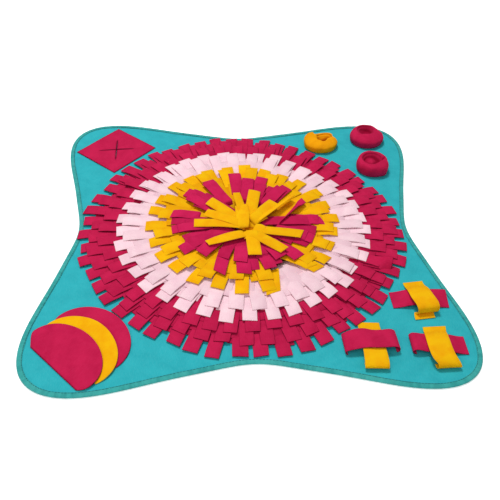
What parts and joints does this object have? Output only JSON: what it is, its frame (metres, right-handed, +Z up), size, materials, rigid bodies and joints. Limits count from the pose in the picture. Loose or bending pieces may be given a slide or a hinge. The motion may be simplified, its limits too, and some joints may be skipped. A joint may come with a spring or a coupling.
{
  "type": "snuffle mat",
  "caption": "Four-pointed felt snuffle mat with a flower of cut fringe, rolled cups, half-round flaps, a slit patch and crossed bands for hiding treats.",
  "frame": {"origin": "centre of the mat at its underside", "axes": "+Z up out of the mat; +X towards the side between the cups and the crossed bands; +Y towards the side between the slit patch and the cups"},
  "size_m": [0.7504, 0.7504, 0.0394],
  "materials": {
    "teal_cloth": "matte",
    "binding_tape": "matte",
    "crimson_felt": "matte",
    "magenta_felt": "matte",
    "pink_felt": "matte",
    "yellow_felt": "matte"
  },
  "bodies": {
    "root": {"band_crimson_corner": "crimson_felt", "band_crimson_left": "crimson_felt", "band_crimson_right": "crimson_felt", "band_yellow_corner": "yellow_felt", "band_yellow_left": "yellow_felt", "band_yellow_right": "yellow_felt", "base_panel": "teal_cloth", "centre_tuft": "yellow_felt", "crimson_row_1": "crimson_felt", "crimson_row_2": "crimson_felt", "crimson_row_3": "crimson_felt", "cup_crimson_back": "crimson_felt", "cup_crimson_front": "crimson_felt", "cup_yellow": "yellow_felt", "diamond_patch": "crimson_felt", "edge_binding": "binding_tape", "flap_crimson_low": "crimson_felt", "flap_crimson_top": "crimson_felt", "flap_yellow": "yellow_felt", "magenta_row_1": "magenta_felt", "magenta_row_2": "magenta_felt", "pink_row_1": "pink_felt", "pink_row_2": "pink_felt", "yellow_row_1": "yellow_felt", "yellow_row_2": "yellow_felt"}
  },
  "joints": []
}
